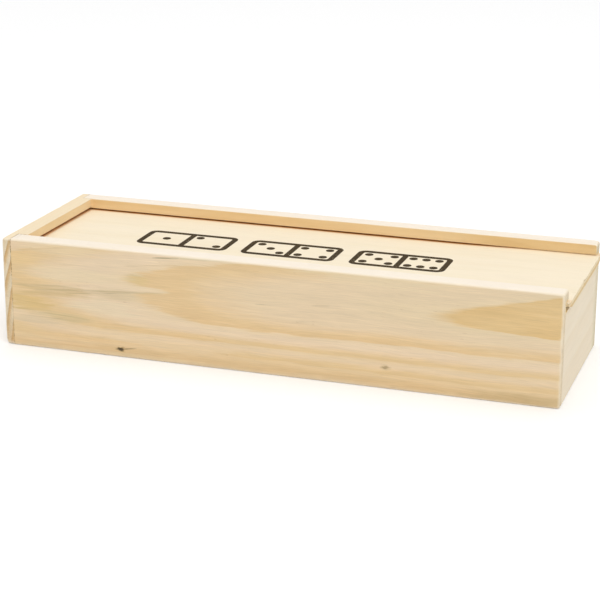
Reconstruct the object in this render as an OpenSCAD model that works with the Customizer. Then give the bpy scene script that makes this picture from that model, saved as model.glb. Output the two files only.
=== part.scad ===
// Domino storage box: four pine boards round a well, with a thin lid that slides in
// grooves inside the side boards and comes out over the low end board.
// Millimetres. +X runs along the box to the end where the lid comes out, +Y to the
// back and +Z up. The origin is the middle of the underside.

/* [Box] */
// Length from the closed end to the ends of the side boards
box_length = 150; // [120:1:220]
// Width over the side boards
box_width = 50.5; // [40:0.5:80]
// Height from the underside to the rim
box_height = 29.5; // [24:0.5:60]
// Bevel that sanding leaves along the outer edges
edge_ease = 0.4; // [0.1:0.1:0.8]

/* [Boards] */
// Thickness of the front and back boards
side_thick = 5; // [4.5:0.5:8]
// Thickness of the board at the closed end
closed_end_thick = 5; // [4.5:0.5:8]
// Thickness of the low board that the lid slides over
open_end_thick = 4.5; // [3.5:0.5:8]
// Thickness of the bottom panel
floor_thick = 3; // [2:0.5:5]

/* [Corner joints] */
// Part of the closed end board that laps over the ends of the side boards
end_lap = 2.5; // [1.5:0.5:3]
// Depth of the rabbets in the side boards that hold the low end board
corner_rabbet = 3; // [1.5:0.5:3.5]
// Depth of the rabbets in the side boards that hold the bottom panel
floor_rabbet = 3; // [1.5:0.5:3.5]
// Depth of the rabbets in the end boards that hold the bottom panel
floor_end_rabbet = 2.5; // [1:0.5:2.5]

/* [Lid groove] */
// Height of the lips that stay above the grooves in the side boards
lip_height = 2.8; // [2:0.1:5]
// Depth of the groove in the side boards
groove_depth = 3; // [2:0.5:3.5]
// Depth of the groove in the closed end board
end_groove_depth = 2.5; // [1.5:0.5:3]

/* [Lid] */
// Thickness of the lid
lid_thick = 2.1; // [1.6:0.1:4]
// How far the closed lid stands out past the ends of the side boards
lid_overhang = 0.8; // [0:0.1:3]
// Width of the bevel under each long edge of the lid
lid_bevel_width = 4.2; // [0.5:0.1:6]
// Height of the bevel under each long edge of the lid
lid_bevel_height = 1.2; // [0.4:0.1:1.4]
// Gap between the lid and the lips of the side boards
play_above = 0.4; // [0.1:0.05:0.6]
// Gap between the lid and the lip of the closed end board
end_play_above = 0.7; // [0.1:0.05:0.8]
// Gap between the lid and what it slides on
play_below = 0.2; // [0.1:0.05:0.6]
// Gap at each long edge of the lid
play_side = 0.3; // [0.1:0.05:0.6]
// Gap between the closed lid and the bottom of the end groove
play_end = 0.3; // [0.1:0.05:0.6]

/* [Print on the lid] */
// Length of each printed domino
mark_length = 25.6; // [21:0.2:30]
// Width of each printed domino
mark_width = 13; // [10:0.5:20]
// Space between one printed domino and the next
mark_space = 4.2; // [1:0.2:8]
// Width of the printed lines
mark_line = 1.5; // [0.6:0.1:1.6]
// Corner radius of each printed domino
mark_corner = 2.2; // [1.7:0.1:4]
// Diameter of the pips
pip_diameter = 2.2; // [1:0.1:2.4]
// Bare space between the outer pips and the lines round them
pip_margin = 0.7; // [0.4:0.1:1]
// Place of the print along the box, from the middle
mark_x = -2.2; // [-8:0.2:8]
// Place of the print across the box, from the middle
mark_y = -0.8; // [-6:0.2:6]
// Thickness of the ink
ink_thick = 0.08; // [0.04:0.02:0.2]

/* [Hidden] */
$fn = 48;

pine = [0.87, 0.76, 0.57];
pale_pine = [0.91, 0.85, 0.74];
panel_wood = [0.85, 0.73, 0.55];
lid_wood = [0.97, 0.91, 0.79];
ink = [0.19, 0.16, 0.12];

// How far a cut runs on past the wood that it removes
past = 1;

// Outside of the box
end_x = box_length / 2;
side_y = box_width / 2;

// Walls of the well
well_closed_x = -end_x + closed_end_thick;
well_open_x = end_x - open_end_thick;
well_y = side_y - side_thick;

// The side boards start behind the lap of the closed end board
lap_x = -end_x + end_lap;

// Levels of the groove and of the lid in it
groove_top = box_height - lip_height;
lid_top = groove_top - play_above;
end_groove_top = lid_top + end_play_above;
lid_bottom = lid_top - lid_thick;
groove_floor = lid_bottom - play_below;

// The bottom panel reaches to the end of each rabbet
panel_closed_x = well_closed_x - floor_end_rabbet;
panel_open_x = well_open_x + floor_end_rabbet;
panel_y = well_y + floor_rabbet;

// The low end board reaches to the bottom of its two rabbets
rabbet_y = well_y + corner_rabbet;

// Bottoms of the grooves in the side boards and in the closed end board
groove_y = well_y + groove_depth;
end_groove_x = well_closed_x - end_groove_depth;

// The lid is as wide as the grooves allow, so at the closed end it stops at the groove's
// bottom or at the laps, whichever it meets first
lid_closed_x = max(end_groove_x, lap_x) + play_end;
lid_open_x = end_x + lid_overhang;
lid_y = groove_y - play_side;

// Each printed domino has two numbers, and they count up along the row
mark_numbers = [[1, 2], [3, 4], [5, 6]];
mark_count = len(mark_numbers);
mark_pitch = mark_length + mark_space;

// Each number stands in a cell, and its outer pips keep clear of the lines round the cell
cell_length = (mark_length - 3 * mark_line) / 2;
cell_width = mark_width - 2 * mark_line;
pip_reach = [cell_length / 2, cell_width / 2] - (pip_margin + pip_diameter / 2) * [1, 1];

// Places of the pips for the numbers 1 to 6, from -1 to 1 across the cell
centre_pip = [[0, 0]];
two_pips = [[-1, 1], [1, -1]];
four_pips = concat(two_pips, [[-1, -1], [1, 1]]);
middle_pair = [[0, -1], [0, 1]];
pip_places = [
    centre_pip,
    two_pips,
    concat(centre_pip, two_pips),
    four_pips,
    concat(centre_pip, four_pips),
    concat(four_pips, middle_pair)
];

// A block between two values on each axis
module block(x, y, z) {
    translate([x[0], y[0], z[0]])
        cube([x[1] - x[0], y[1] - y[0], z[1] - z[0]]);
}

// A rectangle round the origin with its corners cut off
module eased_rectangle(length, width) {
    x = length / 2;
    y = width / 2;
    polygon([
        [x, -y + edge_ease], [x, y - edge_ease], [x - edge_ease, y], [-x + edge_ease, y],
        [-x, y - edge_ease], [-x, -y + edge_ease], [-x + edge_ease, -y], [x - edge_ease, -y]
    ]);
}

// The outside of the whole box, with every outer edge eased
module outside() {
    intersection() {
        linear_extrude(box_height)
            eased_rectangle(box_length, box_width);
        translate([0, 0, box_height / 2])
            rotate([90, 0, 0])
                linear_extrude(box_width, center = true)
                    eased_rectangle(box_length, box_height);
        translate([0, 0, box_height / 2])
            rotate([90, 0, 90])
                linear_extrude(box_length, center = true)
                    eased_rectangle(box_width, box_height);
    }
}

// A side board at the back of the box: the lid's groove runs along it, the bottom panel
// lies in a rabbet under it, and the low end board stands in a rabbet at its end
module side_board() {
    inner_y = well_y - past;
    difference() {
        intersection() {
            outside();
            block([lap_x, end_x], [well_y, side_y], [0, box_height]);
        }
        block([lap_x - past, end_x + past], [inner_y, groove_y], [groove_floor, groove_top]);
        block([lap_x - past, well_open_x], [inner_y, panel_y], [-past, floor_thick]);
        block([well_open_x, end_x + past], [inner_y, rabbet_y], [-past, groove_floor]);
    }
}

module front_board() {
    color(pine)
        mirror([0, 1, 0])
            side_board();
}

module back_board() {
    color(pine)
        side_board();
}

// The end board is full height, and its laps cover the ends of the side boards
module closed_end_board() {
    inner_x = well_closed_x + past;
    color(pine)
        difference() {
            intersection() {
                outside();
                union() {
                    block([-end_x, lap_x], [-side_y, side_y], [0, box_height]);
                    block([-end_x, well_closed_x], [-well_y, well_y], [0, box_height]);
                }
            }
            block([end_groove_x, inner_x], [-well_y, well_y], [groove_floor, end_groove_top]);
            block([panel_closed_x, inner_x], [-well_y, well_y], [-past, floor_thick]);
        }
}

// The low end board stops level with the floor of the groove
module open_end_board() {
    color(pale_pine)
        difference() {
            intersection() {
                outside();
                block([well_open_x, end_x], [-rabbet_y, rabbet_y], [0, groove_floor]);
            }
            block([well_open_x - past, panel_open_x], [-well_y, well_y], [-past, floor_thick]);
        }
}

module bottom_panel() {
    color(panel_wood) {
        block([panel_closed_x, panel_open_x], [-well_y, well_y], [0, floor_thick]);
        block([lap_x, well_open_x], [-panel_y, panel_y], [0, floor_thick]);
    }
}

// The lid is bevelled underneath along both long edges
module sliding_lid() {
    flat_y = lid_y - lid_bevel_width;
    bevel_top = lid_bottom + lid_bevel_height;
    color(lid_wood)
        translate([lid_closed_x, 0, 0])
            rotate([90, 0, 90])
                linear_extrude(lid_open_x - lid_closed_x)
                    polygon([
                        [-flat_y, lid_bottom], [flat_y, lid_bottom], [lid_y, bevel_top],
                        [lid_y, lid_top], [-lid_y, lid_top], [-lid_y, bevel_top]
                    ]);
}

// A rectangle round the origin with round corners
module round_rectangle(length, width, radius) {
    square([length - 2 * radius, width], center = true);
    square([length, width - 2 * radius], center = true);
    for (side_x = [-1, 1], end_y = [-1, 1])
        translate([side_x * (length / 2 - radius), end_y * (width / 2 - radius)])
            circle(radius);
}

// The pips of one number
module pips(number) {
    for (place = pip_places[number - 1])
        translate([pip_reach[0] * place[0], pip_reach[1] * place[1]])
            circle(d = pip_diameter);
}

// One printed domino: its outline, the bar across its middle and its pips
module domino_mark(numbers) {
    cell_x = (mark_line + cell_length) / 2;
    difference() {
        round_rectangle(mark_length, mark_width, mark_corner);
        round_rectangle(mark_length - 2 * mark_line, mark_width - 2 * mark_line,
            mark_corner - mark_line);
    }
    square([mark_line, mark_width - mark_line], center = true);
    translate([-cell_x, 0])
        pips(numbers[0]);
    translate([cell_x, 0])
        pips(numbers[1]);
}

module lid_print() {
    first_x = mark_x - mark_pitch * (mark_count - 1) / 2;
    color(ink)
        translate([first_x, mark_y, lid_top])
            linear_extrude(ink_thick)
                for (place = [0 : mark_count - 1])
                    translate([place * mark_pitch, 0])
                        domino_mark(mark_numbers[place]);
}

front_board();
back_board();
closed_end_board();
open_end_board();
bottom_panel();
sliding_lid();
lid_print();
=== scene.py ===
"""Domino storage box: the looks of the wood and of the print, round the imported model."""

import math

import bmesh
import bpy
from mathutils import Matrix, Vector, noise


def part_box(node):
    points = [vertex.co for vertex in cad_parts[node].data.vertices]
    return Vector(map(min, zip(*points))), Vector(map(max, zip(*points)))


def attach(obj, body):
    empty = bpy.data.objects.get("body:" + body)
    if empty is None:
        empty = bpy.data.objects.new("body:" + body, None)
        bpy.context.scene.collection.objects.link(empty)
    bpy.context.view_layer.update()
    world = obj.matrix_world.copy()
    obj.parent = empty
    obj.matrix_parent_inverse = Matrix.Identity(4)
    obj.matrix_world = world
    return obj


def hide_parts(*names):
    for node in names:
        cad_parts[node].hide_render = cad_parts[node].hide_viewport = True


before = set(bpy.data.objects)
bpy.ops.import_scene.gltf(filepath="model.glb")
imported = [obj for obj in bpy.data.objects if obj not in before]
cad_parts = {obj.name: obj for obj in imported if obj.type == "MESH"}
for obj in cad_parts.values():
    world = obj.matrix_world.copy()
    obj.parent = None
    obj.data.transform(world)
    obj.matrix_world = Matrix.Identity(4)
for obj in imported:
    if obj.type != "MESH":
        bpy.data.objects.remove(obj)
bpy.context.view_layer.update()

MM = 0.001

# Camera: it stands to the right of the box and looks down at it
CAMERA_PLACE = Vector((0.1444, -0.4353, 0.1594))
CAMERA_YAW = math.radians(18.38)
CAMERA_PITCH = math.radians(17.75)
CAMERA_ROLL = math.radians(0.28)
CAMERA_LENS = 108.2
CAMERA_SENSOR = 36.0
CAMERA_NEAR = 0.01

# Light: an even sky, a lamp in front at the right and a lamp overhead
SKY_LIGHT = 0.55
KEY_PLACE = (0.90, -1.10, 1.50)
KEY_SIZE = 1.0
KEY_POWER = 12.0
TOP_PLACE = (-0.20, 0.20, 1.80)
TOP_SIZE = 1.6
TOP_POWER = 10.0
FLOOR_REACH = 4.0
FLOOR_TONE = 0.88
FLOOR_ROUGHNESS = 0.9
FLOOR_SHINE = 0.1
FLOOR_LIFT = 0.20

# Places on the box, in millimetres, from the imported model
front_low, front_high = (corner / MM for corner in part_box("front_board"))
closed_low, closed_high = (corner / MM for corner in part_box("closed_end_board"))
open_low, open_high = (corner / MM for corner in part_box("open_end_board"))
lid_low, lid_high = (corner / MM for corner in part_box("sliding_lid"))
CLOSED_X = closed_low.x
OPEN_X = front_high.x
LAP_X = front_low.x
FRONT_Y = front_low.y
BACK_Y = -front_low.y
UNDERSIDE_Z = front_low.z
RIM_Z = front_high.z
WELL_Y = -front_high.y
WELL_CLOSED_X = closed_high.x
WELL_OPEN_X = open_low.x
RABBET_Y = open_high.y
GROOVE_FLOOR_Z = open_high.z
LID_END_X = lid_high.x
LID_EDGE_Y = lid_high.y
LID_UNDER_Z = lid_low.z
LID_TOP_Z = lid_high.z
LID_THICK = LID_TOP_Z - LID_UNDER_Z

# The most room that the grooves have over the lid, which is at the closed end
ROOM_OVER_LID = 0.7
GROOVE_TOP_Z = LID_TOP_Z + ROOM_OVER_LID

# The axes by their numbers
X = 0
Y = 1
Z = 2

# How the pieces are cut up, rounded and worn, in metres and radians
WELD = 1e-6
SLICE_STEP = 1.5 * MM
SLICE_CLEARANCE = 0.2 * MM
FLAT_ANGLE = math.radians(1)
SHARP_ANGLE = math.radians(25)
BOARD_ROUNDING = 0.22 * MM
SHEET_ROUNDING = 0.14 * MM
WEAR_LENGTH = 5.0 * MM
WEAR_DEPTH = 0.07 * MM
CREASE_ANGLE = math.radians(50)

# How far from a seam an edge of it may lie, in millimetres
SEAM_REACH = 0.02

# The colour sockets of a mix node: its two inputs and its output
MIX_FIRST = 6
MIX_SECOND = 7
MIX_RESULT = 2

# How strongly the surfaces shine
WOOD_SHINE = 0.3
INK_SHINE = 0.06

# Each board takes its noise from a place of its own along the grain, so that no two are alike
BACK_SEED = 40.0
SEAM_SEED = 60.0
CLOSED_END_SEED = 80.0
OPEN_END_SEED = 120.0
PANEL_SEED = 160.0
LID_SEED = 200.0


def linear(value):
    """One channel of a screen colour, 0 to 255, as a shader takes it."""
    part = value / 255
    if part <= 0.04045:
        return part / 12.92
    return ((part + 0.055) / 1.055) ** 2.4


def colour(red, green, blue):
    """A screen colour as the linear colour that a shader takes."""
    return (linear(red), linear(green), linear(blue), 1.0)


class Shader:
    """One material, with plain calls for the nodes that it is built from."""

    def __init__(self, name):
        self.material = bpy.data.materials.new(name)
        self.material.use_nodes = True
        self.nodes = self.material.node_tree.nodes
        self.links = self.material.node_tree.links
        self.surface = self.nodes["Principled BSDF"]
        coordinates = self.nodes.new("ShaderNodeTexCoord")
        place = self.add("ShaderNodeVectorMath", {0: coordinates.outputs["Object"]}, operation="SCALE")
        place.inputs["Scale"].default_value = 1 / MM
        self.x, self.y, self.z = self.split(place.outputs[0])
        facing = self.split(coordinates.outputs["Normal"])
        self.facing_x, self.facing_y, self.facing_z = (self.size(part) for part in facing)

    def put(self, socket, value):
        """Links a socket to another one, or sets its value."""
        if isinstance(value, bpy.types.NodeSocket):
            self.links.new(value, socket)
        else:
            socket.default_value = value

    def add(self, kind, inputs, **settings):
        """A new node with its settings and its inputs."""
        node = self.nodes.new(kind)
        for name, value in settings.items():
            setattr(node, name, value)
        for name, value in inputs.items():
            self.put(node.inputs[name], value)
        return node

    def split(self, vector):
        """The three numbers of a vector."""
        return self.add("ShaderNodeSeparateXYZ", {0: vector}).outputs[:]

    def math(self, operation, *values):
        """One step of arithmetic."""
        return self.add("ShaderNodeMath", dict(enumerate(values)), operation=operation).outputs[0]

    def plus(self, *values):
        """The sum of several values."""
        total = values[0]
        for value in values[1:]:
            total = self.math("ADD", total, value)
        return total

    def times(self, *values):
        """The product of several values."""
        total = values[0]
        for value in values[1:]:
            total = self.math("MULTIPLY", total, value)
        return total

    def most(self, *values):
        """The largest of several values."""
        total = values[0]
        for value in values[1:]:
            total = self.math("MAXIMUM", total, value)
        return total

    def size(self, value):
        """A value without its sign."""
        return self.math("ABSOLUTE", value)

    def spread(self, value, low, high, to_low=0.0, to_high=1.0):
        """Carries the span from low to high smoothly over to another span, and stops there."""
        span = {"Value": value, "From Min": low, "From Max": high, "To Min": to_low, "To Max": to_high}
        return self.add("ShaderNodeMapRange", span, interpolation_type="SMOOTHSTEP").outputs[0]

    def slope(self, value, low, high, to_low=0.0, to_high=1.0):
        """The same, in a straight line."""
        span = {"Value": value, "From Min": low, "From Max": high, "To Min": to_low, "To Max": to_high}
        return self.add("ShaderNodeMapRange", span, interpolation_type="LINEAR").outputs[0]

    def noise(self, wood, length, width, detail=2.0, rough=0.5, seed=0.0):
        """Noise drawn out along the grain: its spots are so long and so wide, in millimetres."""
        along, across, depth = wood
        place = self.add(
            "ShaderNodeCombineXYZ",
            {
                0: self.math("MULTIPLY_ADD", along, 1 / length, seed),
                1: self.times(across, 1 / width),
                2: self.times(depth, 1 / width),
            },
        )
        settings = {"Vector": place.outputs[0], "Scale": 1.0, "Detail": detail, "Roughness": rough}
        return self.add("ShaderNodeTexNoise", settings).outputs[0]

    def jitter(self, wood, length, width, amount, detail=2.0, seed=0.0):
        """Noise round zero, half of amount to either side."""
        return self.times(self.plus(self.noise(wood, length, width, detail, 0.5, seed), -0.5), amount)

    def ramp(self, value, stops):
        """Colours at given values, which start at 0."""
        span = stops[-1][0]
        node = self.add("ShaderNodeValToRGB", {0: self.times(value, 1 / span)})
        elements = node.color_ramp.elements
        while len(elements) < len(stops):
            elements.new(1.0)
        for element, (place, tint) in zip(elements, stops):
            element.position = place / span
            element.color = colour(*tint)
        return node.outputs[0]

    def mix(self, factor, first, second, blend="MIX"):
        """Two colours mixed."""
        node = self.add("ShaderNodeMix", {0: factor}, data_type="RGBA", blend_type=blend)
        self.put(node.inputs[MIX_FIRST], first)
        self.put(node.inputs[MIX_SECOND], second)
        return node.outputs[MIX_RESULT]

    def shade(self, tint, factor):
        """A colour made lighter or darker by a factor."""
        grey = self.add("ShaderNodeCombineXYZ", {0: factor, 1: factor, 2: factor})
        return self.mix(1.0, tint, grey.outputs[0], "MULTIPLY")

    def finish(self, tint, roughness, height, specular):
        """Puts the colour, the roughness and the height in millimetres on the surface."""
        bump = self.add("ShaderNodeBump", {"Height": height, "Distance": MM, "Strength": 1.0})
        self.put(self.surface.inputs["Base Color"], tint)
        self.put(self.surface.inputs["Roughness"], roughness)
        self.put(self.surface.inputs["Normal"], bump.outputs[0])
        self.surface.inputs["Specular IOR Level"].default_value = specular
        return self.material


# Colours across the growth rings of the front board. The rings are counted outwards from
# the inner flame, and each one is dark on its outer side
FRONT_RINGS = [
    (0.00, (233, 202, 149)),
    (0.60, (236, 204, 149)),
    (0.97, (231, 197, 140)),
    (1.00, (239, 217, 180)),
    (1.20, (238, 215, 180)),
    (1.45, (241, 217, 181)),
    (1.60, (241, 213, 172)),
    (1.76, (238, 207, 158)),
    (1.95, (237, 204, 154)),
    (2.00, (237, 205, 155)),
    (2.05, (242, 218, 182)),
    (2.28, (244, 220, 187)),
    (2.45, (244, 219, 186)),
    (2.62, (242, 214, 175)),
    (2.76, (239, 208, 159)),
    (2.98, (237, 205, 153)),
    (3.06, (241, 214, 174)),
    (3.32, (243, 217, 181)),
    (3.52, (242, 213, 172)),
    (3.68, (238, 207, 157)),
    (3.93, (237, 205, 153)),
    (4.03, (241, 212, 167)),
    (4.20, (240, 210, 165)),
    (4.38, (235, 203, 154)),
    (4.70, (232, 199, 150)),
    (4.88, (235, 205, 160)),
    (5.10, (240, 213, 174)),
    (6.00, (238, 210, 168)),
]

# The flames on the front board, in millimetres: the tip of the inner one, the way from one
# tip to the next, the height of the line that the tips lie on, and the inner one's flat side
FLAME_TIP_X = 42.0
FLAME_STEP = 80.0
FLAME_LINE_Z = 20.5
FLAME_FLAT_Z = 18.1

# How the flames' rings are counted up: along the line of the tips, ever faster past each tip,
# inside the inner flame, and with the square of the height above and below the line
TIP_GROWTH = 0.5
TIP_BEND = 2.2
INSIDE_GROWTH = -2.0
GROWTH_ABOVE = 0.0075
GROWTH_BELOW = 0.0045

# The notch in the tip of the outer flame: its height and how it fades out above and below,
# where it fades out along the board, and its depth in rings
NOTCH_Z = 19.2
NOTCH_FADE_Z = (0.2, 1.6)
NOTCH_FADE_X = (-30.0, -17.0)
NOTCH_DEPTH = 0.22

# The bands below the flames: the rings in a millimetre, how much closer together they lie
# further down, how far up they are counted, and how softly they run into the flames
BAND_GROWTH = 0.1235
BAND_CROWDING = 0.0059
BAND_REACH = -9.0
BAND_BLEND = 0.4

# Where the rings' ragged outlines calm down, and what is left of their raggedness there
CALM_X = (-10.0, 25.0)
CALM_SHARE = 0.12

# Across the thickness of the front board the rings are counted up slowly
DEPTH_GROWTH = 0.05

# Colours across one ring of the other boards
PLAIN_RINGS = [
    (0.00, (240, 220, 186)),
    (0.40, (240, 217, 179)),
    (0.72, (237, 207, 161)),
    (0.92, (229, 194, 144)),
    (1.00, (239, 217, 180)),
]
PALE_RINGS = [
    (0.00, (248, 234, 209)),
    (0.60, (247, 232, 206)),
    (0.92, (245, 229, 201)),
    (1.00, (248, 234, 208)),
]
CUT_RINGS = [
    (0.00, (243, 226, 195)),
    (0.38, (240, 218, 182)),
    (0.60, (230, 196, 146)),
    (0.90, (210, 169, 114)),
    (1.00, (242, 223, 189)),
]

# The other colours of the wood
FIBRE_TONE = (242, 222, 190)
CLOUD_TONE = (233, 217, 178)
RIM_TONE = (255, 245, 230)
END_RIM_TONE = (248, 229, 195)
# The walls' browner tones: partly their own tan, partly painted shade and bounce light
WALL_TAN_AND_SHADE_TONE = (244, 206, 147)
WALL_PALE_TAN_AND_SHADE_TONE = (248, 218, 168)
WALL_DARK_TAN_AND_SHADE_TONE = (234, 197, 136)
# Painted shade in the lid's grooves, paler towards the open end
GROOVE_SHADE_TONE = (222, 160, 62)
GROOVE_PALE_SHADE_TONE = (252, 224, 160)
CUT_END_TONE = (244, 228, 199)
# Painted greyish shade on the back board's end faces and along the low end board's back seam
BACK_END_SHADE_TONE = (224, 212, 180)
LOW_END_TONE = (222, 180, 122)
# Paler rounded edges: partly wear, partly a painted highlight
EDGE_WEAR_AND_HIGHLIGHT_TONE = (250, 236, 211)
# Dirt and painted shade in the seams
SEAM_DIRT_AND_SHADE_TONE = (128, 92, 38)
RESIN_TONE = (178, 140, 88)
# Painted shade on the lid where it lies under the lips
UNDER_LIP_SHADE_TONE = (228, 166, 80)
PLY_TONE = (250, 230, 190)
CORE_TONE = (234, 204, 150)
# Painted shade on the lower ply of the sheets' edges
LOWER_PLY_SHADE_TONE = (220, 172, 88)

# The ink, thick and thin, and the lid where the ink is worn off
INK_THICK_TONE = (54, 43, 27)
INK_THIN_TONE = (80, 66, 44)
INK_WORN_TONE = (206, 188, 152)

# Where along the box the planed walls' tone, partly painted shade, turns paler and then darker, and the
# grooves' painted shade paler
PALER_X = (-20, 60)
DARKER_X = (34, 50)
PALER_GROOVE_SHADE_X = (20, 60)

# The ripples that the planer's cutter leaves: from one to the next, and their height
RIPPLE_STEP = 1.4
RIPPLE_HEIGHT = 0.003

# How far from a seam its dirt and painted shade fade out, and the heights between which they get thicker
SEAM_FADE = (0.04, 0.14)
DARKER_SEAM_Z = (19.0, 24.0)

# The rings in the cut end of the closed end board: they lean, and lie closer near the rim
END_RING_SPACING = 7.6
END_RING_TILT = -3.6
END_RING_SLOPE = 0.6
END_RING_BEND = 0.008

# How deep under the face a dark ring shows in the cut end of the front board
CUT_RING_DEPTH = 0.85

# The width of the painted shade on the low end board, along its seam at the back
END_SHADE_WIDTH = 5


def flame_rings(s, along, height):
    """Ring number in the flames, from the place along the board and the height."""
    step = s.times(s.math("SUBTRACT", FLAME_TIP_X, along), 1 / FLAME_STEP)
    ahead = s.times(s.math("POWER", s.most(step, 0.0), TIP_BEND), TIP_GROWTH)
    inside = s.math("MINIMUM", step, 0.0)
    tips = s.plus(1.0, s.times(step, TIP_GROWTH), ahead, s.times(inside, inside, INSIDE_GROWTH))
    above = s.most(s.plus(height, -FLAME_LINE_Z), 0.0)
    below = s.most(s.math("SUBTRACT", FLAME_LINE_Z, height), 0.0)
    tips = s.plus(tips, s.times(above, above, GROWTH_ABOVE), s.times(below, below, GROWTH_BELOW))
    notch = s.spread(s.size(s.plus(height, -NOTCH_Z)), *NOTCH_FADE_Z, 1.0, 0.0)
    return s.plus(tips, s.times(notch, s.spread(along, *NOTCH_FADE_X, NOTCH_DEPTH, 0.0)))


def band_rings(s, height):
    """Ring number in the bands below the flames."""
    lower = s.most(s.math("SUBTRACT", FLAME_FLAT_Z, height), BAND_REACH)
    return s.plus(1.0, s.times(lower, BAND_GROWTH), s.times(lower, lower, BAND_CROWDING))


def front_rings(s, wood):
    """Ring number on the front board: nested flames that open towards the open end."""
    x, z, y = wood
    height = s.plus(z, s.jitter(wood, 45, 9, 1.6, detail=1), s.jitter(wood, 7, 0.9, 0.9, detail=3))
    calm = s.slope(x, *CALM_X, 1.0, CALM_SHARE)
    along = s.plus(x, s.times(s.jitter(wood, 6, 0.9, 3.5, detail=3, seed=7), calm))
    ragged = s.jitter(wood, 11, 0.6, 0.26, detail=3, seed=2)
    flames = s.plus(flame_rings(s, along, height), s.times(ragged, calm))
    bands = s.plus(band_rings(s, height), ragged)
    rings = s.math("SMOOTH_MAX", flames, bands, BAND_BLEND)
    return s.plus(rings, s.times(s.plus(y, -FRONT_Y), DEPTH_GROWTH))


def plain_rings(s, wood, spacing, tilt, seed):
    """Ring number on a board whose rings run along it: it counts up from face to face."""
    across, depth = wood[1:]
    wander = s.jitter(wood, 70, 14, 7.0, detail=1, seed=seed)
    ragged = s.jitter(wood, 10, 0.9, 1.0, detail=3, seed=seed)
    level = s.plus(across, s.times(depth, tilt), wander, ragged)
    return s.math("FLOORED_MODULO", s.times(level, 1 / spacing), 1.0)


def fibres(s, tint, wood, strength=1.0, seed=0.0):
    """Fine fibres over a wood colour. Gives the colour and the fibres' height."""
    along, across, depth = wood
    wavy = (along, s.plus(across, s.jitter(wood, 24, 10, 2.2, detail=1, seed=seed + 13)), depth)
    fine = s.noise(wavy, 7, 0.22, detail=5, rough=0.65, seed=seed)
    hairs = s.noise(wavy, 5, 0.07, detail=2, rough=0.6, seed=seed + 17)
    broad = s.noise(wavy, 17, 1.1, detail=3, rough=0.5, seed=seed + 3)
    cloud = s.noise(wavy, 30, 9, detail=2, rough=0.5, seed=seed + 9)
    tint = s.shade(tint, s.spread(fine, 0.25, 0.75, 1 - 0.05 * strength, 1 + 0.05 * strength))
    tint = s.shade(tint, s.spread(hairs, 0.25, 0.75, 1 - 0.05 * strength, 1 + 0.06 * strength))
    tint = s.shade(tint, s.spread(broad, 0.3, 0.7, 1 - 0.035 * strength, 1 + 0.025 * strength))
    tint = s.mix(s.spread(broad, 0.55, 0.75, 0.0, 0.16 * strength), tint, colour(*FIBRE_TONE))
    tint = s.mix(s.spread(cloud, 0.35, 0.65, 0.0, 0.14 * strength), tint, colour(*CLOUD_TONE))
    return tint, s.plus(s.times(fine, 0.014), s.times(hairs, 0.008), s.times(broad, 0.01))


def resin_ducts(s, tint, wood, seed=0.0):
    """Short brown dashes scattered along the grain. Gives the colour and their depth."""
    spots = s.noise(wood, 2.6, 0.16, detail=1, rough=0.5, seed=seed + 21)
    sparse = s.noise(wood, 24, 5, detail=1, rough=0.5, seed=seed + 33)
    mask = s.times(s.spread(spots, 0.72, 0.80), s.spread(sparse, 0.45, 0.65), 0.6)
    return s.mix(mask, tint, colour(*RESIN_TONE)), s.times(mask, -0.02)


def end_grain(s, tint, height, wood, at_end, seed=0.0):
    """The cut ends of the fibres: open pores and saw marks over the given colour."""
    along, across, depth = wood
    face = (across, depth, along)
    pores = s.noise(face, 0.26, 0.26, detail=2, rough=0.6, seed=seed)
    blotch = s.noise(face, 2.6, 2.6, detail=2, rough=0.5, seed=seed + 5)
    cut = s.shade(tint, s.spread(pores, 0.3, 0.7, 0.88, 1.05))
    cut = s.shade(cut, s.spread(blotch, 0.3, 0.7, 0.94, 1.03))
    return s.mix(at_end, tint, cut), s.plus(height, s.times(at_end, pores, 0.06))


def planed(s, tint, height, wood, inside, seed=0.0):
    """The planed walls of the well and of the lips: browner, partly their own tan and partly painted
    shade and bounce light, with faint cutter ripples.
    """
    patchy = s.noise(wood, 22, 2.2, detail=3, rough=0.5, seed=seed + 50)
    at_closed_end = s.spread(s.x, WELL_CLOSED_X, WELL_CLOSED_X + 1, 1.0, 0.0)
    paler = s.most(s.spread(s.x, *PALER_X), at_closed_end)
    tone = s.mix(paler, colour(*WALL_TAN_AND_SHADE_TONE), colour(*WALL_PALE_TAN_AND_SHADE_TONE))
    tone = s.mix(s.spread(s.x, *DARKER_X), tone, colour(*WALL_DARK_TAN_AND_SHADE_TONE))
    tone = s.shade(tone, s.spread(patchy, 0.3, 0.7, 0.95, 1.03))
    above_groove = s.spread(s.z, LID_UNDER_Z, LID_TOP_Z, 0.45, 1.0)
    tint = s.mix(s.times(inside, above_groove, s.spread(patchy, 0.3, 0.7, 0.85, 0.6)), tint, tone)
    ripple = s.math("SINE", s.times(wood[0], 2 * math.pi / RIPPLE_STEP))
    return tint, s.plus(height, s.times(inside, ripple, RIPPLE_HEIGHT))


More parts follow.
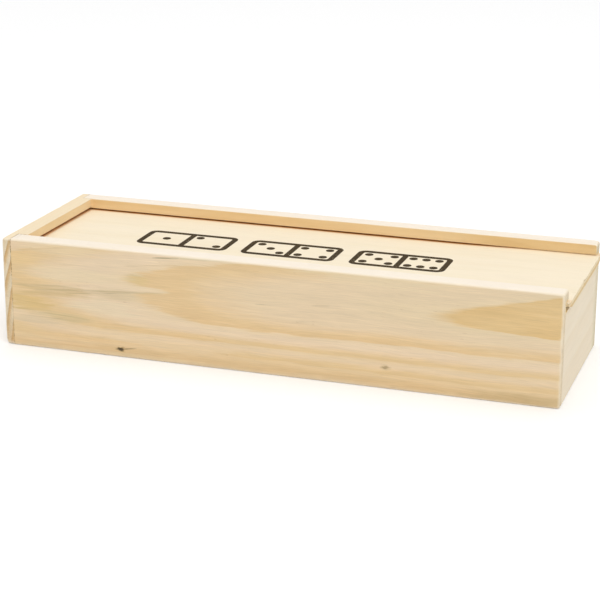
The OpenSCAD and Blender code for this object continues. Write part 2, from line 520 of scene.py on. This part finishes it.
def grooves(s, tint):
    """The walls of the lid's grooves, which are sawn: painted brown shade, as deep in the grooves."""
    side = s.size(s.y)
    level = s.times(
        s.spread(s.z, GROOVE_FLOOR_Z - 0.15, GROOVE_FLOOR_Z - 0.02),
        s.spread(s.z, GROOVE_TOP_Z, GROOVE_TOP_Z + 0.1, 1.0, 0.0),
    )
    in_sides = s.times(
        s.spread(side, WELL_Y + 0.02, WELL_Y + 0.2),
        s.spread(side, RABBET_Y + 0.1, RABBET_Y + 0.4, 1.0, 0.0),
        s.spread(s.x, LAP_X, LAP_X + 0.1),
    )
    in_end = s.times(
        s.spread(s.x, WELL_CLOSED_X - 0.2, WELL_CLOSED_X - 0.02, 1.0, 0.0),
        s.spread(side, WELL_Y, WELL_Y + 0.1, 1.0, 0.0),
        s.spread(s.x, LAP_X - 0.6, LAP_X - 0.2),
    )
    tone = s.mix(s.spread(s.x, *PALER_GROOVE_SHADE_X), colour(*GROOVE_SHADE_TONE), colour(*GROOVE_PALE_SHADE_TONE))
    return s.mix(s.times(level, s.most(in_sides, in_end), 0.9), tint, tone)


def seams(s, tint):
    """Dirt and painted shade in the seams between the boards: they lie thick in places and hardly show
    in others.
    """
    side = s.size(s.y)
    spot = s.noise((s.x, s.y, s.z), 0.55, 0.55, detail=2, rough=0.6, seed=SEAM_SEED)
    wide = s.noise((s.x, s.y, s.z), 7, 7, detail=1, rough=0.5, seed=SEAM_SEED + 1)
    high = s.spread(s.z, *DARKER_SEAM_Z)

    def near(value, place):
        return s.spread(s.size(s.plus(value, -place)), *SEAM_FADE, 1.0, 0.0)

    lap = s.times(near(s.x, LAP_X), s.spread(side, WELL_Y - 0.2, WELL_Y, 0.0, 1.0))
    shoulder = s.times(
        near(side, WELL_Y),
        s.spread(s.x, WELL_CLOSED_X, WELL_CLOSED_X + 0.1, 1.0, 0.0),
        s.spread(s.x, LAP_X - 0.1, LAP_X),
        s.spread(s.facing_z, 0.4, 0.8),
    )
    end = s.times(near(side, RABBET_Y), s.spread(s.x, WELL_OPEN_X, WELL_OPEN_X + 0.5))
    end = s.times(end, s.spread(s.z, GROOVE_FLOOR_Z - 0.1, GROOVE_FLOOR_Z + 0.1, 0.7, 0.0))
    lines = s.most(lap, shoulder, end)
    thick = s.spread(s.plus(spot, s.times(wide, 0.7), s.times(high, 0.14)), 0.80, 1.04, 0.14, 0.95)
    return s.mix(s.times(lines, thick), tint, colour(*SEAM_DIRT_AND_SHADE_TONE))


def worn_and_highlit_edges(s, tint, wood, seed=0.0):
    """The rounded edges, worn paler here and there and partly painted as a highlight. Gives the colour
    and where they are.
    """
    crossed = s.plus(
        s.times(s.facing_x, s.facing_y), s.times(s.facing_y, s.facing_z), s.times(s.facing_z, s.facing_x)
    )
    edge = s.spread(crossed, 0.08, 0.35)
    patchy = s.spread(s.noise(wood, 14, 5, detail=2, rough=0.5, seed=seed + 70), 0.35, 0.65, 0.25, 0.7)
    return s.mix(s.times(edge, patchy), tint, colour(*EDGE_WEAR_AND_HIGHLIGHT_TONE)), edge


def board(s, tint, wood, inside, at_end, rim_tone, seed=0.0, strength=1.0):
    """What all four boards share, over the figure of their wood."""
    tint, height = fibres(s, tint, wood, strength, seed)
    tint, pits = resin_ducts(s, tint, wood, seed)
    height = s.plus(height, pits)
    upright = s.spread(s.facing_z, 0.3, 0.7, 1.0, 0.0)
    rim = s.times(s.spread(s.facing_z, 0.4, 0.9), s.spread(s.z, RIM_Z - 1, RIM_Z - 0.5))
    tint = s.mix(s.times(rim, 0.85), tint, colour(*rim_tone))
    # The walls' tone, partly painted shade and bounce light
    tint, height = planed(s, tint, height, wood, s.times(inside, upright), seed)
    tint, height = end_grain(s, tint, height, wood, at_end, seed)
    # Paler edges, partly a painted highlight
    tint, edge = worn_and_highlit_edges(s, tint, wood, seed)
    # Painted shade in the lid's grooves
    tint = grooves(s, tint)
    # Dirt and painted shade in the seams
    tint = seams(s, tint)
    worn = s.noise(wood, 12, 1.5, detail=2, rough=0.5, seed=seed + 2)
    roughness = s.plus(s.spread(worn, 0.3, 0.7, 0.54, 0.68), s.times(edge, -0.08), s.times(at_end, 0.12))
    return s.finish(tint, roughness, height, WOOD_SHINE)


def inside_walls(s):
    """1 on the side boards' inner faces and 0 on their outer faces."""
    return s.spread(s.size(s.y), WELL_Y + 0.1, WELL_Y + 0.3, 1.0, 0.0)


def streak(s, x, z, start, end, width):
    """A soft streak from one point of a face to another, 1 in the middle and 0 outside."""
    run = s.slope(x, start[0], end[0])
    middle = s.slope(x, start[0], end[0], start[1], end[1])
    ends = s.math("SQRT", s.times(run, s.math("SUBTRACT", 1.0, run), 4.0))
    return s.times(s.spread(s.size(s.math("SUBTRACT", z, middle)), 0.0, width, 1.0, 0.0), ends)


def patch(s, wood, middle, reach, ragged):
    """A soft oval patch, 1 in the middle and 0 outside, with a ragged rim."""
    along, across = wood[:2]
    off_x = s.times(s.plus(along, -middle[0]), 1 / reach[0])
    off_z = s.times(s.plus(across, -middle[1]), 1 / reach[1])
    away = s.math("SQRT", s.plus(s.times(off_x, off_x), s.times(off_z, off_z)))
    return s.spread(s.plus(away, ragged), 0.45, 1.15, 1.0, 0.0)


# Marks on the front board, in millimetres along it and up it. A patch has its middle, its
# reach, its colour and its strength, and a streak its two ends, its width, colour and strength
PATCHES = [
    ((-70.0, 24.2), (6.5, 2.0), (242, 210, 156), 0.75),
    ((-28.0, 5.0), (27.0, 1.3), (244, 219, 181), 0.70),
    ((-45.0, 0.9), (34.0, 0.7), (240, 214, 172), 0.60),
    ((-58.0, 28.2), (11.0, 2.2), (243, 219, 180), 0.70),
    ((-68.5, 12.4), (8.0, 2.9), (230, 197, 134), 0.90),
    ((28.0, 29.0), (24.0, 3.2), (241, 220, 183), 0.80),
    ((-60.0, 16.4), (12.5, 2.0), (220, 193, 143), 0.75),
    ((-42.5, 17.0), (9.0, 1.9), (226, 204, 166), 0.70),
    ((-57.0, 9.4), (10.0, 1.5), (222, 199, 154), 0.75),
    ((-66.0, 7.7), (8.0, 1.1), (224, 203, 168), 0.60),
    ((-36.0, 22.0), (5.0, 1.6), (228, 202, 142), 0.60),
    ((-28.0, 22.4), (8.5, 2.6), (236, 204, 154), 0.65),
    ((-29.0, 16.6), (8.0, 2.4), (237, 206, 158), 0.60),
    ((-55.0, 21.2), (15.0, 2.4), (243, 222, 184), 0.60),
    ((-46.0, 12.9), (11.0, 2.4), (242, 223, 190), 0.65),
    ((-45.0, 6.1), (16.0, 1.0), (243, 218, 180), 0.60),
    ((68.0, 1.4), (20.0, 1.6), (214, 186, 138), 0.80),
    ((-57.0, 4.0), (18.0, 0.9), (241, 209, 160), 0.60),
    ((-60.0, 2.3), (13.0, 0.5), (245, 214, 170), 0.70),
]
STREAKS = [
    ((-66.0, 16.3), (-29.0, 18.9), 0.45, (186, 166, 122), 0.60),
    ((-58.0, 16.0), (-38.0, 17.9), 0.22, (160, 142, 100), 0.55),
    ((-73.0, 17.0), (-52.0, 18.3), 0.35, (206, 182, 134), 0.50),
    ((-73.0, 14.6), (-55.0, 15.2), 0.30, (204, 176, 122), 0.50),
    ((-72.0, 12.8), (-60.0, 12.2), 0.25, (200, 168, 108), 0.55),
    ((-73.0, 10.6), (-50.0, 9.4), 0.35, (196, 174, 126), 0.55),
    ((-71.0, 8.8), (-49.0, 8.7), 0.30, (200, 180, 138), 0.45),
    ((-48.5, 9.2), (-20.0, 7.4), 0.9, (240, 203, 150), 0.60),
    ((-32.0, 28.2), (-24.5, 28.8), 0.30, (146, 136, 96), 0.85),
    ((-27.0, 28.7), (-10.0, 29.5), 0.55, (208, 198, 158), 0.60),
    ((-40.0, 25.2), (-27.0, 26.6), 0.25, (206, 178, 128), 0.50),
    ((-71.0, 26.6), (-55.0, 28.8), 0.28, (222, 190, 138), 0.50),
    ((-66.0, 23.0), (-50.0, 24.4), 0.25, (218, 190, 142), 0.40),
    ((-4.0, 18.7), (1.5, 18.95), 0.22, (168, 150, 112), 0.65),
    ((11.0, 19.9), (16.0, 20.3), 0.20, (190, 168, 128), 0.50),
]

# The knots on the front board: the middle, the reach of the halo and its colour, the reach
# of the core and its colour, and the far ends of the two tails
KNOTS = [
    ((-41.4, 2.25), (1.6, 0.8), (214, 180, 126), (1.1, 0.6), (66, 50, 26), (-43.0, 2.15), (-36.8, 3.0)),
    ((30.7, 5.75), (1.5, 0.8), (222, 196, 152), (0.9, 0.45), (184, 160, 122), (29.3, 5.7), (32.4, 5.9)),
]
TAIL_WIDTH = 0.34


def knot(s, tint, wood, middle, halo, halo_tone, core, core_tone, left, right):
    """A small knot with a soft halo and with thin tails along the grain."""
    uneven = s.jitter(wood, 1.1, 0.5, 1.7, detail=4)
    tint = s.mix(s.times(patch(s, wood, middle, halo, uneven), 0.8), tint, colour(*halo_tone))
    for end in (left, right):
        opposite = (2 * middle[0] - end[0], 2 * middle[1] - end[1])
        mask = streak(s, s.x, s.z, opposite, end, TAIL_WIDTH)
        away = s.times(s.plus(s.x, -middle[0]), math.copysign(1.0, end[0] - middle[0]))
        mask = s.times(mask, s.spread(away, -0.3, 0.4), s.spread(uneven, -0.5, 0.1, 1.0, 0.55))
        tint = s.mix(s.times(mask, 0.75), tint, colour(*core_tone))
    return s.mix(patch(s, wood, middle, core, uneven), tint, colour(*core_tone))


def stains(s, tint, wood):
    """The patches and the streaks on the front board."""
    ragged = s.jitter(wood, 8, 0.8, 1.5, detail=4, seed=31)
    stringy = s.noise(wood, 11, 0.4, detail=3, rough=0.6, seed=4)
    stringy = s.spread(stringy, 0.32, 0.58, 0.1, 1.0)
    for middle, reach, tone, strength in PATCHES:
        mask = s.times(patch(s, wood, middle, reach, ragged), strength)
        tint = s.mix(mask, tint, colour(*tone))
    for start, end, width, tone, strength in STREAKS:
        mask = s.times(streak(s, s.x, s.z, start, end, width), stringy, strength)
        tint = s.mix(mask, tint, colour(*tone))
    return tint


def cut_ring(s, tint, at_end):
    """A dark ring in the cut end of the front board, just under its face."""
    wander = s.jitter((s.z, s.x, s.x), 4.5, 9, 1.1, detail=3)
    away = s.size(s.plus(s.y, -FRONT_Y - CUT_RING_DEPTH, wander))
    line = s.times(at_end, s.spread(away, 0.03, 0.16, 1.0, 0.0), s.spread(s.z, 12, 22, 0.7, 0.1))
    return s.mix(line, tint, colour(*RESIN_TONE))


def front_pine():
    """The front board: two flames, bands below them, olive staining and two knots."""
    s = Shader("front_pine")
    wood = (s.x, s.z, s.y)
    tint = s.ramp(front_rings(s, wood), FRONT_RINGS)
    tint = stains(s, tint, wood)
    for marks in KNOTS:
        tint = knot(s, tint, wood, *marks)
    at_end = s.spread(s.facing_x, 0.5, 0.8)
    tint = s.mix(s.times(at_end, 0.75), tint, colour(*CUT_END_TONE))
    tint = cut_ring(s, tint, at_end)
    return board(s, tint, wood, inside_walls(s), at_end, RIM_TONE)


def back_pine():
    """The back board: rings that run along it."""
    s = Shader("back_pine")
    wood = (s.x, s.z, s.y)
    rings = plain_rings(s, wood, spacing=5.5, tilt=0.35, seed=BACK_SEED)
    tint = s.ramp(rings, PLAIN_RINGS)
    at_end = s.spread(s.facing_x, 0.5, 0.8)
    # Painted shade on the back board's end faces
    tint = s.mix(s.times(at_end, 0.85), tint, colour(*BACK_END_SHADE_TONE))
    return board(s, tint, wood, inside_walls(s), at_end, RIM_TONE, BACK_SEED)


def closed_end_pine():
    """The closed end board: its end grain shows on the front, with rings that lean across it."""
    s = Shader("closed_end_pine")
    wood = (s.y, s.z, s.x)
    closer = s.plus(s.times(s.z, END_RING_SLOPE), s.times(s.z, s.z, END_RING_BEND))
    rings = plain_rings(s, (s.y, closer, s.x), END_RING_SPACING, END_RING_TILT, CLOSED_END_SEED)
    at_end = s.spread(s.facing_y, 0.5, 0.8)
    low = s.spread(s.z, 2, 11, 0.45, 0.0)
    cut = s.mix(low, s.ramp(rings, CUT_RINGS), colour(*LOW_END_TONE))
    tint = s.mix(at_end, s.ramp(rings, PLAIN_RINGS), cut)
    inside = s.spread(s.x, WELL_CLOSED_X - 0.3, WELL_CLOSED_X - 0.1)
    return board(s, tint, wood, inside, at_end, END_RIM_TONE, CLOSED_END_SEED)


def open_end_pine():
    """The low end board: smooth pale wood with hardly any figure, and painted shade along its seam at
    the back.
    """
    s = Shader("open_end_pine")
    wood = (s.y, s.z, s.x)
    rings = plain_rings(s, wood, spacing=9.0, tilt=0.5, seed=OPEN_END_SEED)
    # Painted shade on the low end board, darker towards its seam at the back
    back_seam_shade = s.spread(s.y, RABBET_Y - END_SHADE_WIDTH, RABBET_Y, 0.0, 0.9)
    tint = s.mix(back_seam_shade, s.ramp(rings, PALE_RINGS), colour(*BACK_END_SHADE_TONE))
    inside = s.spread(s.x, WELL_OPEN_X + 0.1, WELL_OPEN_X + 0.3, 1.0, 0.0)
    at_end = s.spread(s.facing_y, 0.5, 0.8)
    return board(s, tint, wood, inside, at_end, RIM_TONE, OPEN_END_SEED, strength=0.5)


# Colours across the calm figure of the lid and of the bottom panel
LID_TONES = [
    (0.00, (248, 231, 200)),
    (0.45, (251, 237, 210)),
    (0.60, (250, 236, 208)),
    (1.00, (246, 229, 197)),
]
PANEL_TONES = [
    (0.00, (236, 213, 175)),
    (0.50, (242, 222, 188)),
    (1.00, (231, 205, 163)),
]


def plies(s, level, torn):
    """The edges of a thin sheet: a core between two plies, of which the lower one is painted browner as
    shade from the gap beneath.
    """
    core = s.spread(s.size(s.plus(level, -0.5)), 0.16, 0.22, 1.0, 0.0)
    tint = s.mix(core, colour(*PLY_TONE), colour(*CORE_TONE))
    # Painted shade on the lower ply
    tint = s.mix(s.spread(level, 0.0, 0.3, 0.8, 0.0), tint, colour(*LOWER_PLY_SHADE_TONE))
    return s.shade(tint, s.spread(torn, 0.3, 0.7, 0.86, 1.04))


def painted_lip_shade(s, level):
    """Painted brown shade where the lid runs in the grooves under the lips, less towards the open end,
    and where it tucks in at the closed end.
    """
    side = s.size(s.y)
    runner = s.times(
        s.spread(side, WELL_Y - 0.7, WELL_Y + 0.2),
        s.spread(side, WELL_Y + 1, WELL_Y + 2.2, 0.9, 0.3),
        s.spread(s.x, 40, 66, 1.0, 0.25),
    )
    tucked = s.spread(s.x, WELL_CLOSED_X - 0.25, WELL_CLOSED_X + 0.5, 0.7, 0.0)
    return s.times(s.most(runner, tucked), s.spread(level, -0.2, 0.0))


def sheet(name, tones, seed):
    """The thin sheets of the lid and the bottom: calm faces, and three plies at the edges."""
    s = Shader(name)
    wood = (s.x, s.y, s.z)
    figure = s.noise(wood, 55, 6, detail=2, rough=0.5, seed=seed)
    tint, height = fibres(s, s.ramp(figure, tones), wood, strength=0.4, seed=seed)
    tint, pits = resin_ducts(s, tint, wood, seed)
    level = s.times(s.plus(s.z, -LID_UNDER_Z), 1 / LID_THICK)
    torn = s.noise(wood, 0.5, 0.5, detail=3, rough=0.6, seed=seed)
    at_edge = s.spread(s.facing_z, 0.3, 0.6, 1.0, 0.0)
    tint = s.mix(at_edge, tint, plies(s, level, torn))
    # Painted shade on the lid under the lips
    tint = s.mix(painted_lip_shade(s, level), tint, colour(*UNDER_LIP_SHADE_TONE))
    height = s.plus(height, pits, s.times(at_edge, torn, 0.06))
    roughness = s.plus(s.spread(figure, 0.3, 0.7, 0.50, 0.60), s.times(at_edge, 0.15))
    return s.finish(tint, roughness, height, WOOD_SHINE)


def print_ink():
    """Dark brown ink, thin enough for the grain to show, with small flecks worn off."""
    s = Shader("print_ink")
    wood = (s.x, s.y, s.z)
    fibre = s.noise(wood, 6, 0.25, detail=3, rough=0.6)
    flecks = s.noise(wood, 0.55, 0.40, detail=2, rough=0.6, seed=5)
    patchy = s.noise(wood, 12, 8, detail=1, rough=0.5, seed=11)
    tint = s.mix(s.spread(fibre, 0.3, 0.7), colour(*INK_THICK_TONE), colour(*INK_THIN_TONE))
    worn = s.times(s.spread(flecks, 0.64, 0.70), s.spread(patchy, 0.42, 0.62, 0.2, 0.9))
    tint = s.mix(worn, tint, colour(*INK_WORN_TONE))
    roughness = s.spread(fibre, 0.3, 0.7, 0.62, 0.8)
    return s.finish(tint, roughness, s.times(fibre, 0.01), INK_SHINE)


# Dents and worn corners: the place in millimetres, the reach and the depth
DENTS = {
    "closed_end_board": [
        ((CLOSED_X, FRONT_Y, UNDERSIDE_Z), 1.8, 0.35),
        ((CLOSED_X, FRONT_Y, RIM_Z), 1.2, 0.15),
        ((CLOSED_X, 9.0, RIM_Z), 1.6, 0.10),
    ],
    "front_board": [
        ((OPEN_X, FRONT_Y, RIM_Z), 1.5, 0.18),
        ((31.0, FRONT_Y, RIM_Z), 1.8, 0.08),
        ((-48.0, FRONT_Y, UNDERSIDE_Z), 2.2, 0.12),
        ((OPEN_X, FRONT_Y, UNDERSIDE_Z), 1.4, 0.15),
    ],
    "back_board": [
        ((OPEN_X, BACK_Y, RIM_Z), 1.5, 0.18),
        ((-20.0, BACK_Y, RIM_Z), 2.0, 0.10),
        ((52.0, BACK_Y, UNDERSIDE_Z), 2.0, 0.15),
    ],
    "sliding_lid": [
        ((LID_END_X, -2.3, LID_TOP_Z), 1.6, 0.30),
        ((LID_END_X, 14.0, LID_TOP_Z), 2.0, 0.12),
        ((LID_END_X, -LID_EDGE_Y, LID_TOP_Z), 1.6, 0.25),
    ],
}

# Warped pieces: where along the box they start to rise and where they stop, and how far they
# rise. The lid rises past the print, and stays clear of the lips
WARPS = {"sliding_lid": (36.0, 60.0, 0.3)}


def node_copy(node):
    """The mesh of a CAD node, welded, with its flat faces whole."""
    bm = bmesh.new()
    bm.from_mesh(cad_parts[node].data)
    bmesh.ops.remove_doubles(bm, verts=bm.verts, dist=WELD)
    bmesh.ops.dissolve_limit(bm, angle_limit=FLAT_ANGLE, verts=bm.verts, edges=bm.edges)
    return bm


def slice_along(bm, axis):
    """Cuts the faces across at even steps, so that the edges can wear unevenly."""
    values = [vert.co[axis] for vert in bm.verts]
    start = min(values)
    normal = Vector([float(i == axis) for i in range(3)])
    count = math.ceil((max(values) - start) / SLICE_STEP)
    step = (max(values) - start) / count
    for number in range(1, count):
        level = start + number * step
        if min(abs(value - level) for value in values) < SLICE_CLEARANCE:
            continue
        place = normal * level
        geometry = bm.verts[:] + bm.edges[:] + bm.faces[:]
        bmesh.ops.bisect_plane(bm, geom=geometry, dist=WELD, plane_co=place, plane_no=normal)


def in_seam(edge):
    """Whether an edge lies against another board, where the sander doesn't reach it."""
    place = (edge.verts[0].co + edge.verts[1].co) / 2 / MM
    side = abs(place.y)
    far_x = max(vert.co.x for vert in edge.verts) / MM
    at_lap = abs(place.x - LAP_X) < SEAM_REACH and side > WELL_Y - SEAM_REACH
    at_shoulder = abs(side - WELL_Y) < SEAM_REACH and far_x < WELL_CLOSED_X + SEAM_REACH
    at_rabbet = abs(side - RABBET_Y) < SEAM_REACH and place.x > WELL_OPEN_X
    return at_lap or at_shoulder or (at_rabbet and place.z < GROOVE_FLOOR_Z)


def round_edges(bm, width):
    """Rounds the outer edges and wears them a little, here more and there less."""
    bm.normal_update()
    sharp = [
        edge for edge in bm.edges
        if edge.is_manifold and edge.is_convex and edge.calc_face_angle() > SHARP_ANGLE
        and not in_seam(edge)
    ]
    made = bmesh.ops.bevel(
        bm, geom=sharp, offset=width, offset_type="OFFSET", segments=2, profile=0.5,
        affect="EDGES", clamp_overlap=True,
    )
    round_faces = set(made["faces"])
    bm.normal_update()
    for edge in bm.edges:
        edge.smooth = not edge.is_manifold or edge.calc_face_angle() < CREASE_ANGLE
    for vert in bm.verts:
        if all(face in round_faces for face in vert.link_faces):
            wear = max(0.0, noise.noise(vert.co / WEAR_LENGTH))
            vert.co -= vert.normal * WEAR_DEPTH * wear


def dent(bm, place, reach, depth):
    """Presses the surface in round a place."""
    for vert in bm.verts:
        away = (vert.co - Vector(place) * MM).length / (reach * MM)
        if away < 1:
            vert.co -= vert.normal * depth * MM * (1 - away ** 2) ** 2


def warp(bm, start_x, end_x, rise):
    """Lifts what lies past start_x, more and more up to end_x."""
    for vert in bm.verts:
        part = min(1.0, max(0.0, (vert.co.x / MM - start_x) / (end_x - start_x)))
        vert.co.z += rise * MM * part ** 2 * (3 - 2 * part)


def wooden_piece(node, body, material, axes, rounding):
    """A piece in the place of a CAD node: the same wood with rounded, worn edges."""
    bm = node_copy(node)
    for axis in axes:
        slice_along(bm, axis)
    round_edges(bm, rounding)
    for place, reach, depth in DENTS.get(node, []):
        dent(bm, place, reach, depth)
    if node in WARPS:
        warp(bm, *WARPS[node])
    mesh = bpy.data.meshes.new(node + "_wood")
    bm.to_mesh(mesh)
    bm.free()
    mesh.shade_smooth()
    mesh.materials.append(material)
    piece = bpy.data.objects.new(node + "_wood", mesh)
    bpy.context.scene.collection.objects.link(piece)
    flat_faces = piece.modifiers.new("flat_faces", "WEIGHTED_NORMAL")
    flat_faces.keep_sharp = True
    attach(piece, body)
    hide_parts(node)


def build_box():
    """All the pieces of wood, and the ink on the lid."""
    wooden_piece("front_board", "box", front_pine(), (X,), BOARD_ROUNDING)
    wooden_piece("back_board", "box", back_pine(), (X,), BOARD_ROUNDING)
    wooden_piece("closed_end_board", "box", closed_end_pine(), (Y, Z), BOARD_ROUNDING)
    wooden_piece("open_end_board", "box", open_end_pine(), (Y,), BOARD_ROUNDING)
    panel = sheet("panel_wood", PANEL_TONES, PANEL_SEED)
    wooden_piece("bottom_panel", "box", panel, (X,), SHEET_ROUNDING)
    lid = sheet("lid_wood", LID_TONES, LID_SEED)
    wooden_piece("sliding_lid", "lid", lid, (X, Y), SHEET_ROUNDING)
    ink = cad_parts["lid_print"]
    ink.data.materials.clear()
    ink.data.materials.append(print_ink())


def add_camera():
    """The camera of the photograph."""
    data = bpy.data.cameras.new("camera")
    data.lens = CAMERA_LENS
    data.sensor_width = CAMERA_SENSOR
    data.sensor_fit = "HORIZONTAL"
    data.clip_start = CAMERA_NEAR
    camera = bpy.data.objects.new("camera", data)
    turn = Matrix.Rotation(CAMERA_YAW, 4, "Z")
    tip = Matrix.Rotation(math.pi / 2 - CAMERA_PITCH, 4, "X")
    roll = Matrix.Rotation(CAMERA_ROLL, 4, "Z")
    camera.matrix_world = Matrix.Translation(CAMERA_PLACE) @ turn @ tip @ roll
    bpy.context.scene.collection.objects.link(camera)
    bpy.context.scene.camera = camera


def add_lamp(name, place, size, power):
    """A soft square lamp that points at the box."""
    data = bpy.data.lights.new(name, "AREA")
    data.shape = "SQUARE"
    data.size = size
    data.energy = power
    lamp = bpy.data.objects.new(name, data)
    lamp.location = place
    lamp.rotation_euler = (-Vector(place)).to_track_quat("-Z", "Y").to_euler()
    bpy.context.scene.collection.objects.link(lamp)


def seen_directly(tree):
    """1 for what the camera sees, by itself or in a mirror or through glass, and 0 for light."""
    path = tree.nodes.new("ShaderNodeLightPath")
    seen = path.outputs["Is Camera Ray"]
    for other in ("Is Glossy Ray", "Is Transmission Ray"):
        either = tree.nodes.new("ShaderNodeMath")
        either.operation = "MAXIMUM"
        tree.links.new(seen, either.inputs[0])
        tree.links.new(path.outputs[other], either.inputs[1])
        seen = either.outputs[0]
    return seen


def add_floor():
    """A plain pale floor, white to the camera but for the soft shadow of the box."""
    mesh = bpy.data.meshes.new("floor")
    corners = [(x * FLOOR_REACH, y * FLOOR_REACH, 0) for x, y in ((-1, -1), (1, -1), (1, 1), (-1, 1))]
    mesh.from_pydata(corners, [], [(0, 1, 2, 3)])
    floor = bpy.data.objects.new("floor", mesh)
    material = bpy.data.materials.new("floor")
    material.use_nodes = True
    tree = material.node_tree
    surface = tree.nodes["Principled BSDF"]
    surface.inputs["Base Color"].default_value = (FLOOR_TONE, FLOOR_TONE, FLOOR_TONE, 1)
    surface.inputs["Roughness"].default_value = FLOOR_ROUGHNESS
    surface.inputs["Specular IOR Level"].default_value = FLOOR_SHINE
    surface.inputs["Emission Color"].default_value = (1, 1, 1, 1)
    lift = tree.nodes.new("ShaderNodeMath")
    lift.operation = "MULTIPLY"
    lift.inputs[1].default_value = FLOOR_LIFT
    tree.links.new(seen_directly(tree), lift.inputs[0])
    tree.links.new(lift.outputs[0], surface.inputs["Emission Strength"])
    mesh.materials.append(material)
    bpy.context.scene.collection.objects.link(floor)


def add_world():
    """Even light from all round, and plain white behind everything."""
    world = bpy.data.worlds.new("world")
    bpy.context.scene.world = world
    world.use_nodes = True
    tree = world.node_tree
    lit = tree.nodes["Background"]
    lit.inputs["Color"].default_value = (1, 1, 1, 1)
    lit.inputs["Strength"].default_value = SKY_LIGHT
    white = tree.nodes.new("ShaderNodeBackground")
    white.inputs["Color"].default_value = (1, 1, 1, 1)
    white.inputs["Strength"].default_value = 1.0
    chooser = tree.nodes.new("ShaderNodeMixShader")
    tree.links.new(seen_directly(tree), chooser.inputs[0])
    tree.links.new(lit.outputs[0], chooser.inputs[1])
    tree.links.new(white.outputs[0], chooser.inputs[2])
    tree.links.new(chooser.outputs[0], tree.nodes["World Output"].inputs["Surface"])


add_camera()
build_box()
add_floor()
add_world()
add_lamp("key_light", KEY_PLACE, KEY_SIZE, KEY_POWER)
add_lamp("top_light", TOP_PLACE, TOP_SIZE, TOP_POWER)
bpy.context.scene.view_settings.view_transform = "Standard"
